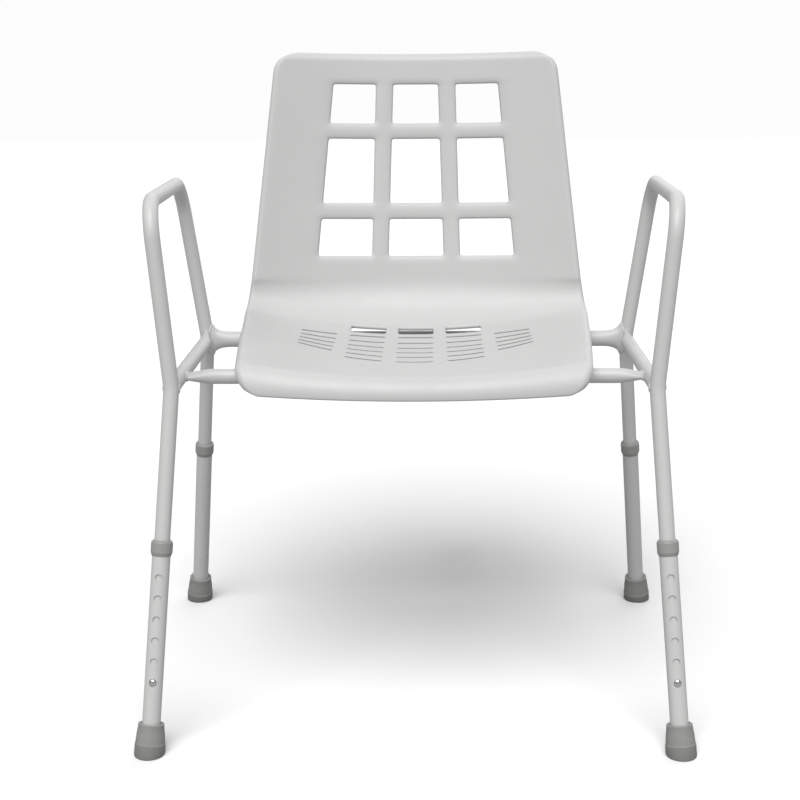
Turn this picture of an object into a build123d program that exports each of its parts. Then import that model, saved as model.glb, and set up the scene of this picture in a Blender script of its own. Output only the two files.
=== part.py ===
from build123d import *
import math
import os

os.makedirs("parts", exist_ok=True)

# Frame: +X to the right seen from the front, +Y to the back, +Z up, floor at Z = 0.
# The chair faces -Y. Left and right are as seen by someone standing in front of it.

# Frame tube and telescoping leg tube
FRAME_R = 9.5
FRAME_WALL = 1.5
LEG_R = 11.1
LEG_WALL = 1.3

# Centre of the chair between the feet and the back's top edge
SHIFT_Y = -11.3

# Frame nodes on the +X side: foot centres, rail junctions and armrest corners
FRONT_FOOT = (321.0, -257.0 + SHIFT_Y, 0.0)
REAR_FOOT = (328.0, 257.0 + SHIFT_Y, 0.0)
FRONT_JOINT = (291.0, -162.0 + SHIFT_Y, 432.0)
REAR_JOINT = (293.0, 191.0 + SHIFT_Y, 414.0)
ARM_FRONT = (311.5, -151.0 + SHIFT_Y, 654.0)
ARM_REAR = (326.0, 201.0 + SHIFT_Y, 633.5)
ARM_BEND = 45.0
LEG_BEND = 70.0

# Cross rails
FRONT_RAIL_Y = -86.0 + SHIFT_Y
RAIL_TAPER = 30.0
RAIL_TIP_HALF = 4.0
RAIL_TIP_WIDE = 12.5
REAR_RAIL_R = 11.0
FLARE_LENGTH = 22.0
FLARE_HALF = 20.5
FLARE_WIDE = 8.8
FLARE_STEPS = (0, 0.35, 0.65, 0.88, 1.0)

# Telescoping legs, distances along the leg from the floor
COLLAR_AT = 251.0
COLLAR_R = 13.15
COLLAR_UP = 9.5
COLLAR_DOWN = 9.5
COLLAR_PLAY = 0.3
COLLAR_LIP = 0.8
COLLAR_SHOULDER = (0.6, 1.6)
COLLAR_ROUND = 3.4
COLLAR_TAPER = (0.5, 4.2)
TUBE_TOP = COLLAR_AT + 5.0
HOLE_PITCH = 25.4
HOLE_COUNT = 6
HOLE_FIRST = 88.5
HOLE_R = 4.7
INNER_END = 62.0
PLUG_DEPTH = 5.0
PLUG_RIM = 2.5

# Rubber feet
FOOT_R = 18.6
FOOT_BAND = 13.5
FOOT_TOP_R = 15.5
FOOT_HEIGHT = 38.0
FOOT_FLOOR = 8.0
FOOT_DIP = 8.0
FOOT_LIP = (1.0, 1.2)
WASHER_T = 1.5
WASHER_PLAY = 0.2

# Snap buttons and their leaf springs, distances from the leg's axis
BUTTON_R = 4.3
BUTTON_TOP = 12.3
BUTTON_SHOULDER = 10.6
BUTTON_BASE = 4.5
BUTTON_FLANGE_R = 4.9
BUTTON_FLANGE_T = 1.4
BUTTON_BORE_R = 4.6
SPRING_T = 0.8
SPRING_W = 8.0
SPRING_BACK = -6.0
SPRING_GAP = 0.35
SPRING_DROP = 20.0
SPRING_TIP = 7.0
SPRING_BEND = 4.0

# Seat shell: centre line of the sitting surface
SHELL_T = 4.5
CREST_Y = -172.0 + SHIFT_Y
CREST_Z = 448.5
LIP_R = 22.0
LIP_END = 98.0
SEAT_RAKE = -3.8
SEAT_FLAT = 195.0
SEAT_ARC_R = 1200.0
SEAT_REAR = 3.0
CORNER_R = 70.0
BACK_ANGLE = 80.0
BACK_LENGTH = 303.0
TOP_R = 12.0
TOP_END = -20.0

# Seat shell: half widths, dish and rim
HALF_FRONT = 215.0
HALF_HIP = 237.0
FLAT_SHARE = 0.62
HALF_CORNER = 229.0
HALF_TOP = 195.5
DISH_LIP = 0.10e-3
DISH_FRONT = 0.32e-3
DISH_SEAT = 0.50e-3
DISH_BACK = 0.90e-3
FRONT_BOW = 16.0
RIM_R = 9.0
RIM_TURN = 75.0
LIP_CORNER = 23.0
TOP_CORNER_R = 28.0

# Seat shell: how many sections and points across carry its curves
LIP_STEPS = 10
FLAT_STEPS = 5
ARC_STEPS = 6
CORNER_STEPS = 8
BACK_STEPS = 8
TOP_CORNER_PARTS = (0.35, 0.7, 1.0)
TOP_STEPS = 8
ACROSS_STEPS = 6
RIM_STEPS = 5

# Openings in the back: rows up the back and the edge lines of the columns
BACK_BASE = (0.0, 228.0 + SHIFT_Y, 480.0)
BACK_ROWS = ((44.8, 96.3), (119.0, 208.3), (230.0, 283.8))
COLUMN_LOW = (38.4, 62.0, 136.5)
COLUMN_HIGH = (31.0, 55.6, 114.0)
OPENING_R = 6.0

# Drain slots in the seat
SLOT_PITCH_X = 65.0
SLOT_LENGTH = 48.0
SLOT_WIDTH = 6.5
SLOT_FIRST_Y = 112.0 + SHIFT_Y
SLOT_PITCH_Y = 36.0
SLOT_ROWS = 6
SLOT_FAN = 0.0006
DRAIN_Y = 150.0 + SHIFT_Y
DRAIN_SIZE = (48.0, 36.0)
DRAIN_R = 12.0

# Seat fixing screws
SCREW_X = 120.0
SCREW_R = 2.5
SCREW_PLAY = 0.25
SCREW_HEAD_R = 5.2
SCREW_HEAD_T = 3.2
SCREW_REACH = 7.5
SCREW_WASHER_T = 1.0
HEX_R = 1.9
HEX_DEPTH = 2.0
WASHER_R = 6.5
BOSS_R = 8.0
BOSS_REACH = 60.0
PAD_T = 3.0
PAD_LENGTH = 30.0
PAD_WRAP = 3.0
CUT_DEPTH = 120.0
DRILL_OVER = 2.0


def side_point(point, side):
    """A frame node on the left (side -1) or right (side 1)."""
    return Vector(side * point[0], point[1], point[2])


def write(piece, label):
    """Name a finished piece and write its STEP file."""
    piece.part.label = label
    export_step(piece.part, f"parts/{label}.step")


# Each leg: name, side, foot, top and the way its row of holes faces
LEGS = [
    ("front_left", -1, FRONT_FOOT, FRONT_JOINT, -1),
    ("front_right", 1, FRONT_FOOT, FRONT_JOINT, -1),
    ("rear_left", -1, REAR_FOOT, REAR_JOINT, 1),
    ("rear_right", 1, REAR_FOOT, REAR_JOINT, 1),
]


def leg_frame(side, foot, top, facing):
    """Foot centre, unit vector up the leg, and the way its holes face."""
    start = side_point(foot, side)
    up = (side_point(top, side) - start).normalized()
    ahead = Vector(0, facing, 0)
    out = (ahead - up * ahead.dot(up)).normalized()
    return start, up, out


def side_path():
    """Centre line of the bent side tube, from the front leg round the armrest to the rear leg."""
    front, front_up, _ = leg_frame(1, FRONT_FOOT, FRONT_JOINT, -1)
    rear, rear_up, _ = leg_frame(1, REAR_FOOT, REAR_JOINT, 1)
    return [
        front + front_up * INNER_END,
        Vector(*FRONT_JOINT),
        Vector(*ARM_FRONT),
        Vector(*ARM_REAR),
        Vector(*REAR_JOINT),
        rear + rear_up * INNER_END,
    ]


def sweep_side(radius, bore):
    """The side tube's solid, hollow when bore is above zero."""
    points = side_path()
    with BuildPart() as tube:
        with BuildLine() as path:
            FilletPolyline(*points, radius=[LEG_BEND, ARM_BEND, ARM_BEND, LEG_BEND])
        with BuildSketch(Plane(origin=points[0], x_dir=(0, 1, 0), z_dir=points[1] - points[0])):
            Circle(radius)
            if bore > 0:
                Circle(bore, mode=Mode.SUBTRACT)
        sweep(path=path.wires()[0])
    return tube.part


side_outline = sweep_side(FRAME_R, 0)
side_outlines = [side_outline, mirror(side_outline, about=Plane.YZ)]


def drill(at, axis, radius, depth):
    """Cut a round hole from a point outwards along an axis."""
    with BuildSketch(Plane(origin=at, z_dir=axis)) as mouth:
        Circle(radius)
    extrude(mouth.sketch, amount=depth, mode=Mode.SUBTRACT)


def write_pair(right, label):
    """Write a piece made for the right side and its mirror image for the left."""
    write(right, f"{label}_right")
    with BuildPart() as left:
        mirror(right.part, about=Plane.YZ)
    write(left, f"{label}_left")


# Side tube: front leg, front upright, armrest, rear upright and rear leg in one bent tube
with BuildPart() as side_tube:
    add(sweep_side(FRAME_R, FRAME_R - FRAME_WALL))
    for _, side, foot, top, facing in LEGS:
        if side == 1:
            start, up, out = leg_frame(side, foot, top, facing)
            drill(start + up * HOLE_FIRST, out, BUTTON_BORE_R, FRAME_R + DRILL_OVER)
write_pair(side_tube, "side_tube")


def rail_solid(radius, tip_half, tip_wide):
    """A side rail's outline: a round bar whose rear end is pressed to an upright blade."""
    front = Vector(*FRONT_JOINT)
    run = Vector(*REAR_JOINT) - front
    along = run.normalized()
    upright = along.cross(Vector(0, 0, 1).cross(along)).normalized()
    round_length = run.length - FRAME_R - RAIL_TAPER
    with BuildPart() as rail:
        with BuildSketch(Plane(front, upright, along)):
            Circle(radius)
        extrude(amount=round_length)
        with BuildSketch(Plane(front + along * round_length, upright, along)):
            Circle(radius)
        with BuildSketch(Plane(front + along * (run.length - FRAME_R / 2), upright, along)):
            Ellipse(tip_wide, tip_half)
        loft()
    return rail.part


BORE_R = FRAME_R - FRAME_WALL
rail_outline = rail_solid(FRAME_R, RAIL_TIP_HALF, RAIL_TIP_WIDE)
rail_outlines = [rail_outline, mirror(rail_outline, about=Plane.YZ)]

with BuildPart() as side_rail:
    add(rail_outline)
    add(
        rail_solid(BORE_R, RAIL_TIP_HALF - FRAME_WALL, RAIL_TIP_WIDE - FRAME_WALL),
        mode=Mode.SUBTRACT,
    )
    add(side_outline, mode=Mode.SUBTRACT)
write_pair(side_rail, "side_rail")

# Height of the side rails' centre line above a place along Y
RAIL_SLOPE = (REAR_JOINT[2] - FRONT_JOINT[2]) / (REAR_JOINT[1] - FRONT_JOINT[1])
FRONT_RAIL_Z = FRONT_JOINT[2] + RAIL_SLOPE * (FRONT_RAIL_Y - FRONT_JOINT[1])
FRONT_RAIL_HALF = FRONT_JOINT[0]
ROUND_HALF = FRONT_RAIL_HALF - FRAME_R - RAIL_TAPER


def front_rail_solid(radius, tip_half, tip_wide):
    """The front cross rail's outline: a round bar with both ends pressed flat."""
    with BuildPart() as rail:
        with BuildSketch(Plane((-ROUND_HALF, FRONT_RAIL_Y, FRONT_RAIL_Z), (0, 1, 0), (1, 0, 0))):
            Circle(radius)
        extrude(amount=2 * ROUND_HALF)
        for side in (-1, 1):
            start = Plane((side * ROUND_HALF, FRONT_RAIL_Y, FRONT_RAIL_Z), (0, 1, 0), (side, 0, 0))
            with BuildSketch(start):
                Circle(radius)
            with BuildSketch(start.offset(FRAME_R + RAIL_TAPER)):
                Ellipse(tip_wide, tip_half)
            loft()
    return rail.part


with BuildPart() as front_cross_rail:
    add(front_rail_solid(FRAME_R, RAIL_TIP_HALF, RAIL_TIP_WIDE))
    add(
        front_rail_solid(BORE_R, RAIL_TIP_HALF - FRAME_WALL, RAIL_TIP_WIDE - FRAME_WALL),
        mode=Mode.SUBTRACT,
    )
    for outline in rail_outlines:
        add(outline, mode=Mode.SUBTRACT)
    for side in (-1, 1):
        above = Vector(side * SCREW_X, FRONT_RAIL_Y, FRONT_RAIL_Z + FRAME_R + DRILL_OVER)
        drill(above, (0, 0, -1), SCREW_R + SCREW_PLAY, 2 * (FRAME_R + DRILL_OVER))
write(front_cross_rail, "front_cross_rail")

REAR_RAIL_Y = REAR_JOINT[1]
REAR_RAIL_Z = REAR_JOINT[2]
REAR_HALF = REAR_JOINT[0]
FLARE_START = REAR_HALF - FRAME_R - FLARE_LENGTH


def flare_section(fraction, inset):
    """Half height and half width of the rear rail's end, part of the way along its flare."""
    rise = (FLARE_HALF - REAR_RAIL_R) * (1 - math.sqrt(1 - fraction**2))
    narrowing = (REAR_RAIL_R - FLARE_WIDE) * fraction
    return REAR_RAIL_R + rise - inset, REAR_RAIL_R - narrowing - inset


def rear_rail_solid(inset):
    """The rear cross rail's outline: a round bar whose ends flare against the uprights."""
    with BuildPart() as rail:
        with BuildSketch(Plane((-FLARE_START, REAR_RAIL_Y, REAR_RAIL_Z), (0, 0, 1), (1, 0, 0))):
            Circle(REAR_RAIL_R - inset)
        extrude(amount=2 * FLARE_START)
        for side in (-1, 1):
            start = Plane((side * FLARE_START, REAR_RAIL_Y, REAR_RAIL_Z), (0, 0, 1), (side, 0, 0))
            for fraction in FLARE_STEPS:
                with BuildSketch(start.offset(FLARE_LENGTH * fraction)):
                    Ellipse(*flare_section(fraction, inset))
            loft()
            with BuildSketch(start.offset(FLARE_LENGTH)):
                Ellipse(*flare_section(1, inset))
            extrude(amount=FRAME_R)
    return rail.part


with BuildPart() as rear_cross_rail:
    add(rear_rail_solid(0))
    add(rear_rail_solid(FRAME_WALL), mode=Mode.SUBTRACT)
    for outline in side_outlines + rail_outlines:
        add(outline, mode=Mode.SUBTRACT)
    for side in (-1, 1):
        above = Vector(side * SCREW_X, REAR_RAIL_Y, REAR_RAIL_Z + REAR_RAIL_R + DRILL_OVER)
        drill(above, (0, 0, -1), SCREW_R + SCREW_PLAY, 2 * (REAR_RAIL_R + DRILL_OVER))
write(rear_cross_rail, "rear_cross_rail")

collar_bore = FRAME_R + COLLAR_PLAY
collar_top = COLLAR_AT + COLLAR_UP
collar_bottom = COLLAR_AT - COLLAR_DOWN

# Telescoping legs, made alike and set on each leg's axis
for name, side, foot, top, facing in LEGS:
    start, up, out = leg_frame(side, foot, top, facing)
    meridian = Plane(origin=start, x_dir=out, z_dir=out.cross(up))
    spin = Axis(start, up)

    with BuildPart() as lower_leg:
        bottom = start + up * (FOOT_FLOOR + WASHER_T)
        with BuildSketch(Plane(origin=bottom, x_dir=out, z_dir=up)):
            Circle(LEG_R)
            Circle(LEG_R - LEG_WALL, mode=Mode.SUBTRACT)
        extrude(amount=TUBE_TOP - FOOT_FLOOR - WASHER_T)
        for i in range(HOLE_COUNT):
            drill(start + up * (HOLE_FIRST + HOLE_PITCH * i), out, HOLE_R, LEG_R + DRILL_OVER)
    write(lower_leg, f"lower_leg_{name}")

    with BuildPart() as collar:
        with BuildSketch(meridian):
            with BuildLine():
                Polyline(
                    (collar_bore, collar_top),
                    (collar_bore + COLLAR_LIP, collar_top),
                    (COLLAR_R - COLLAR_SHOULDER[0], collar_top - COLLAR_SHOULDER[1]),
                    (COLLAR_R, collar_top - COLLAR_ROUND),
                    (COLLAR_R, collar_bottom + COLLAR_TAPER[1]),
                    (LEG_R + COLLAR_TAPER[0], collar_bottom),
                    (LEG_R, collar_bottom),
                    (LEG_R, TUBE_TOP),
                    (collar_bore, TUBE_TOP),
                    close=True,
                )
            make_face()
        revolve(axis=spin)
    write(collar, f"collar_{name}")

    with BuildPart() as rubber_foot:
        with BuildSketch(meridian):
            with BuildLine():
                Polyline(
                    (0, -FOOT_DIP),
                    (FOOT_R, -FOOT_DIP),
                    (FOOT_R, FOOT_BAND),
                    (FOOT_TOP_R, FOOT_HEIGHT - FOOT_LIP[1]),
                    (FOOT_TOP_R - FOOT_LIP[0], FOOT_HEIGHT),
                    (LEG_R, FOOT_HEIGHT),
                    (LEG_R, FOOT_FLOOR),
                    (0, FOOT_FLOOR),
                    close=True,
                )
            make_face()
        revolve(axis=spin)
        split(bisect_by=Plane.XY, keep=Keep.TOP)
    write(rubber_foot, f"foot_{name}")

    with BuildPart() as washer:
        with BuildSketch(Plane(origin=start + up * FOOT_FLOOR, x_dir=out, z_dir=up)):
            Circle(LEG_R - WASHER_PLAY)
        extrude(amount=WASHER_T)
    write(washer, f"foot_washer_{name}")

    plug_at = Plane(origin=start + up * INNER_END, x_dir=out, z_dir=up)
    with BuildPart() as plug:
        with BuildSketch(plug_at):
            Circle(FRAME_R - FRAME_WALL)
        extrude(amount=PLUG_DEPTH)
        with BuildSketch(plug_at):
            Circle(FRAME_R)
        extrude(amount=-PLUG_RIM)
    write(plug, f"inner_end_plug_{name}")

    button_at = start + up * HOLE_FIRST
    across = out.cross(up)
    with BuildPart() as button:
        with BuildSketch(Plane(origin=button_at, x_dir=out, z_dir=across)):
            with BuildLine():
                Polyline(
                    (BUTTON_SHOULDER, 0),
                    (BUTTON_BASE, 0),
                    (BUTTON_BASE, BUTTON_FLANGE_R),
                    (BUTTON_BASE + BUTTON_FLANGE_T, BUTTON_FLANGE_R),
                    (BUTTON_BASE + BUTTON_FLANGE_T, BUTTON_R),
                    (BUTTON_SHOULDER, BUTTON_R),
                )
                EllipticalCenterArc(
                    (BUTTON_SHOULDER, 0),
                    BUTTON_TOP - BUTTON_SHOULDER,
                    BUTTON_R,
                    start_angle=0,
                    arc_size=90,
                )
                Line((BUTTON_TOP, 0), (BUTTON_SHOULDER, 0))
            make_face()
        revolve(axis=Axis(button_at, out))
    write(button, f"snap_button_{name}")

    leaf_front = BUTTON_BASE - SPRING_GAP - SPRING_T / 2
    with BuildPart() as spring:
        with BuildSketch(Plane(origin=button_at, x_dir=out, z_dir=across)):
            with BuildLine() as leaf:
                FilletPolyline(
                    (leaf_front, SPRING_TIP),
                    (leaf_front, -SPRING_DROP),
                    (SPRING_BACK, -SPRING_DROP),
                    (SPRING_BACK, SPRING_TIP / 2),
                    radius=SPRING_BEND,
                )
            trace(line_width=SPRING_T)
        extrude(amount=SPRING_W / 2, both=True)
    write(spring, f"button_spring_{name}")


def sine(degrees):
    """Sine of an angle in degrees."""
    return math.sin(math.radians(degrees))


def cosine(degrees):
    """Cosine of an angle in degrees."""
    return math.cos(math.radians(degrees))


def along(start, angle, distance):
    """The place a given distance along a straight run of the centre line."""
    return (start[0] + distance * cosine(angle), start[1] + distance * sine(angle))


def arc_run(start, first, last, radius, steps):
    """Stations along an arc of the centre line, each (y, z, direction)."""
    run = []
    for i in range(1, steps + 1):
        angle = first + (last - first) * i / steps
        y = start[0] + radius * (sine(angle) - sine(first))
        z = start[1] - radius * (cosine(angle) - cosine(first))
        run.append((y, z, angle))
    return run


def mix(low, high, fraction):
    """A value part of the way from low to high."""
    return low + (high - low) * fraction


def top_corner(rise):
    """How far the side edge draws in at a height above the start of a top corner."""
    part = min(max(rise / TOP_CORNER_R, 0), 1)
    return TOP_CORNER_R * (1 - math.sqrt(1 - part**2))


def shell_stations():
    """The centre line from the lip's lower edge to the top rim, with width, dish and bow."""
    crest = (CREST_Y, CREST_Z)
    lip = arc_run(crest, SEAT_RAKE, LIP_END, -LIP_R, LIP_STEPS)
    stations = []
    for i, (y, z, angle) in enumerate(reversed(lip)):
        part = i / len(lip)
        half = HALF_FRONT - LIP_CORNER * (1 - math.sqrt(1 - (1 - part) ** 2))
        stations.append((y, z, angle, half, mix(DISH_LIP, DISH_FRONT, part), FRONT_BOW, 0))
    for i in range(FLAT_STEPS + 1):
        part = i / FLAT_STEPS
        y, z = along(crest, SEAT_RAKE, SEAT_FLAT * part)
        dish = mix(DISH_FRONT, DISH_SEAT, part)
        half = mix(HALF_FRONT, HALF_HIP, FLAT_SHARE * part)
        bow = FRONT_BOW * (1 - part) ** 2
        stations.append((y, z, SEAT_RAKE, half, dish, bow, 0))
    flat_end = stations[-1][:2]
    seat = arc_run(flat_end, SEAT_RAKE, SEAT_REAR, SEAT_ARC_R, ARC_STEPS)
    for i, (y, z, angle) in enumerate(seat):
        half = mix(HALF_FRONT, HALF_HIP, mix(FLAT_SHARE, 1, (i + 1) / len(seat)))
        stations.append((y, z, angle, half, DISH_SEAT, 0, max(angle, 0)))
    corner = arc_run(stations[-1][:2], SEAT_REAR, BACK_ANGLE, CORNER_R, CORNER_STEPS)
    for i, (y, z, angle) in enumerate(corner):
        part = (i + 1) / len(corner)
        half = mix(HALF_HIP, HALF_CORNER, part)
        stations.append((y, z, angle, half, mix(DISH_SEAT, DISH_BACK, part), 0, angle))
    back_start = stations[-1][:2]
    straight = BACK_LENGTH - TOP_CORNER_R + TOP_R
    lengths = [straight * i / BACK_STEPS for i in range(1, BACK_STEPS + 1)]
    lengths += [mix(straight, BACK_LENGTH, part) for part in TOP_CORNER_PARTS]
    for length in lengths:
        y, z = along(back_start, BACK_ANGLE, length)
        half = mix(HALF_CORNER, HALF_TOP, length / BACK_LENGTH) - top_corner(length - straight)
        stations.append((y, z, BACK_ANGLE, half, DISH_BACK, 0, BACK_ANGLE))
    top = arc_run(stations[-1][:2], BACK_ANGLE, TOP_END, -TOP_R, TOP_STEPS)
    for y, z, angle in top:
        rise = BACK_LENGTH - straight + TOP_R * sine(BACK_ANGLE - angle)
        if angle < 0:
            rise = TOP_CORNER_R
        half = HALF_TOP - top_corner(rise)
        stations.append((y, z, angle, half, DISH_BACK, 0, BACK_ANGLE))
    return stations


def shell_row(station):
    """Points across the shell at one station, from the left rim to the right rim."""
    y, z, angle, half, dish, bow, lift_angle = station
    flat_half = half - RIM_R
    places = [(flat_half * i / ACROSS_STEPS, 0) for i in range(ACROSS_STEPS + 1)]
    for i in range(1, RIM_STEPS + 1):
        turn = RIM_TURN * i / RIM_STEPS
        places.append((flat_half + RIM_R * sine(turn), RIM_R * (1 - cosine(turn))))
    row = []
    for side in (-1, 1):
        for x, drop in places:
            if side == 1 and x == 0:
                continue
            rise = dish * x**2
            back = bow * (x / HALF_FRONT) ** 2
            py = y - rise * sine(lift_angle) + drop * sine(angle) + back
            pz = z + rise * cosine(lift_angle) - drop * cosine(angle)
            row.append(Vector(side * x, py, pz))
    return sorted(row, key=lambda point: point.X)


def offset_row(rows, stations, index, distance):
    """One row of the shell moved square to its surface."""
    angle = stations[index][2]
    ahead = Vector(0, cosine(angle), sine(angle))
    row = rows[index]
    moved = []
    for i, point in enumerate(row):
        across = row[min(i + 1, len(row) - 1)] - row[max(i - 1, 0)]
        moved.append(point + across.cross(ahead).normalized() * distance)
    return moved


def shell_solid():
    """The seat and back as one curved sheet of even thickness."""
    stations = shell_stations()
    rows = [shell_row(station) for station in stations]
    lower_rows = [offset_row(rows, stations, i, -SHELL_T) for i in range(len(rows))]
    middle = rows[len(rows) // 2]
    lengths = [0.0]
    for start, end in zip(middle, middle[1:]):
        lengths.append(lengths[-1] + (end - start).length)
    knots = [length / lengths[-1] for length in lengths]
    mirrored = [1 - knot for knot in reversed(knots)]
    sections = []
    for upper, lower in zip(rows, lower_rows):
        section = [
            Edge.make_spline(upper, parameters=knots),
            Edge.make_line(upper[-1], lower[-1]),
            Edge.make_spline(lower[::-1], parameters=mirrored),
            Edge.make_line(lower[0], upper[0]),
        ]
        sections.append(Wire(section))
    faces = list(Solid.make_loft(sections).faces())
    for i in (0, -1):
        upper = Edge.make_spline(rows[i], parameters=knots)
        lower = Edge.make_spline(lower_rows[i], parameters=knots)
        faces.append(Face.make_surface_from_curves(upper, lower))
    return Solid(Shell(faces))


shell_blank = shell_solid()
back_plane = Plane(BACK_BASE, (1, 0, 0), (0, -sine(BACK_ANGLE), cosine(BACK_ANGLE)))


def column_edge(index, height):
    """Distance of a column's edge line from the centre at a height up the back."""
    low, high = BACK_ROWS[0][0], BACK_ROWS[-1][1]
    return mix(COLUMN_LOW[index], COLUMN_HIGH[index], (height - low) / (high - low))


def opening_outline(row, column):
    """Corners of one opening in the back: column -1, 0 or 1."""
    low, high = BACK_ROWS[row]
    if column == 0:
        return [
            (-column_edge(0, low), low),
            (column_edge(0, low), low),
            (column_edge(0, high), high),
            (-column_edge(0, high), high),
        ]
    return [
        (column * column_edge(1, low), low),
        (column * column_edge(2, low), low),
        (column * column_edge(2, high), high),
        (column * column_edge(1, high), high),
    ]


# Seat fixings on each cross rail: name, rail centre along Y and Z, and rail radius
RAILS = [
    ("front", FRONT_RAIL_Y, FRONT_RAIL_Z, FRAME_R),
    ("rear", REAR_RAIL_Y, REAR_RAIL_Z, REAR_RAIL_R),
]


def boss_solid(x, rail_y, rail_z, rail_r):
    """A moulded post from the shell's underside down to a saddle pad."""
    post = Pos(x, rail_y, rail_z + BOSS_REACH / 2) * Cylinder(BOSS_R, BOSS_REACH)
    pad = Pos(x, rail_y, rail_z) * Rot(0, 90, 0) * Cylinder(rail_r + PAD_T, 4 * BOSS_R)
    above_pad = (post - pad).solids().sort_by(Axis.Z)[-1]
    return (above_pad - shell_blank).solids().sort_by(Axis.Z)[0]


bosses = [boss_solid(side * SCREW_X, y, z, r) for _, y, z, r in RAILS for side in (-1, 1)]

with BuildPart() as seat_shell:
    add(shell_blank)
    for boss in bosses:
        add(boss)
    # openings in the back
    for row in range(len(BACK_ROWS)):
        for column in (-1, 0, 1):
            with BuildSketch(back_plane) as opening:
                with BuildLine():
                    Polyline(*opening_outline(row, column), close=True)
                make_face()
                fillet(opening.vertices(), OPENING_R)
            extrude(amount=CUT_DEPTH, both=True, mode=Mode.SUBTRACT)
    # drain slots, whose rows close up towards the sides of the seat, and the wider drains behind
    for column in (-2, -1, 0, 1, 2):
        x = column * SLOT_PITCH_X
        for row in range(SLOT_ROWS - abs(column) // 2):
            y = SLOT_FIRST_Y - SLOT_PITCH_Y * row + SLOT_FAN * row * x**2
            with BuildSketch(Plane((x, y, CREST_Z - CUT_DEPTH / 2))):
                SlotOverall(SLOT_LENGTH, SLOT_WIDTH)
            extrude(amount=CUT_DEPTH, mode=Mode.SUBTRACT)
    for column in (-1, 0, 1):
        with BuildSketch(Plane((column * SLOT_PITCH_X, DRAIN_Y, CREST_Z - CUT_DEPTH / 2))):
            RectangleRounded(*DRAIN_SIZE, DRAIN_R)
        extrude(amount=CUT_DEPTH, mode=Mode.SUBTRACT)
    # pilot holes for the fixing screws
    for _, rail_y, rail_z, rail_r in RAILS:
        for side in (-1, 1):
            foot_of_hole = Vector(side * SCREW_X, rail_y, rail_z)
            drill(foot_of_hole, (0, 0, 1), SCREW_R, rail_r + SCREW_REACH + SCREW_PLAY)
write(seat_shell, "seat_shell")

for name, rail_y, rail_z, rail_r in RAILS:
    with BuildPart() as saddles:
        for side in (-1, 1):
            with BuildSketch(Plane((side * SCREW_X - PAD_LENGTH / 2, rail_y, rail_z), z_dir=(1, 0, 0))):
                Circle(rail_r + PAD_T)
                Circle(rail_r, mode=Mode.SUBTRACT)
            extrude(amount=PAD_LENGTH)
        split(bisect_by=Plane.XY.offset(rail_z + PAD_WRAP), keep=Keep.TOP)
        for side in (-1, 1):
            drill(Vector(side * SCREW_X, rail_y, rail_z), (0, 0, 1), SCREW_R + SCREW_PLAY, 2 * rail_r)
    write(saddles, f"{name}_seat_saddles")

screw_places = [(side * SCREW_X, y, z, r) for _, y, z, r in RAILS for side in (-1, 1)]

with BuildPart() as seat_screws:
    for x, y, z, rail_r in screw_places:
        head_z = z - rail_r - SCREW_WASHER_T
        with BuildSketch(Plane((x, y, head_z))):
            Circle(SCREW_R)
        extrude(amount=2 * rail_r + SCREW_WASHER_T + SCREW_REACH)
        with BuildSketch(Plane((x, y, head_z))):
            Circle(SCREW_HEAD_R)
        extrude(amount=-SCREW_HEAD_T)
        with BuildSketch(Plane((x, y, head_z - SCREW_HEAD_T))):
            RegularPolygon(HEX_R, 6)
        extrude(amount=HEX_DEPTH, mode=Mode.SUBTRACT)
write(seat_screws, "seat_screws")

with BuildPart() as seat_washers:
    for x, y, z, rail_r in screw_places:
        with BuildSketch(Plane((x, y, z - rail_r))):
            Circle(WASHER_R)
            Circle(SCREW_R + SCREW_PLAY, mode=Mode.SUBTRACT)
        extrude(amount=-SCREW_WASHER_T)
write(seat_washers, "seat_washers")
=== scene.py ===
import math

import bmesh
import bpy
from mathutils import Matrix, Vector
from mathutils.bvhtree import BVHTree


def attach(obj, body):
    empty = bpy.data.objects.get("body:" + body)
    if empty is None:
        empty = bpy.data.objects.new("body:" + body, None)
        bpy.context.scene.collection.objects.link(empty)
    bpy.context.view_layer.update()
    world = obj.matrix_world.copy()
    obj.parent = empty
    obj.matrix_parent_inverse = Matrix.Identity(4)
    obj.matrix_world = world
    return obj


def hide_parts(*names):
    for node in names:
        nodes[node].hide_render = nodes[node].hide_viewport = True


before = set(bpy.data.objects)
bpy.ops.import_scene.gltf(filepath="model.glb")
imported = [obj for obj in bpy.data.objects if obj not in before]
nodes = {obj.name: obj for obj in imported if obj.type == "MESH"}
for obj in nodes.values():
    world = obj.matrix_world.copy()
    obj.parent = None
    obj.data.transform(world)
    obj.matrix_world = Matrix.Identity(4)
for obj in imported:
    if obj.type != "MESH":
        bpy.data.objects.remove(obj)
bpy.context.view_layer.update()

MM = 0.001


# ---------------------------------------------------------------- materials


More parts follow.
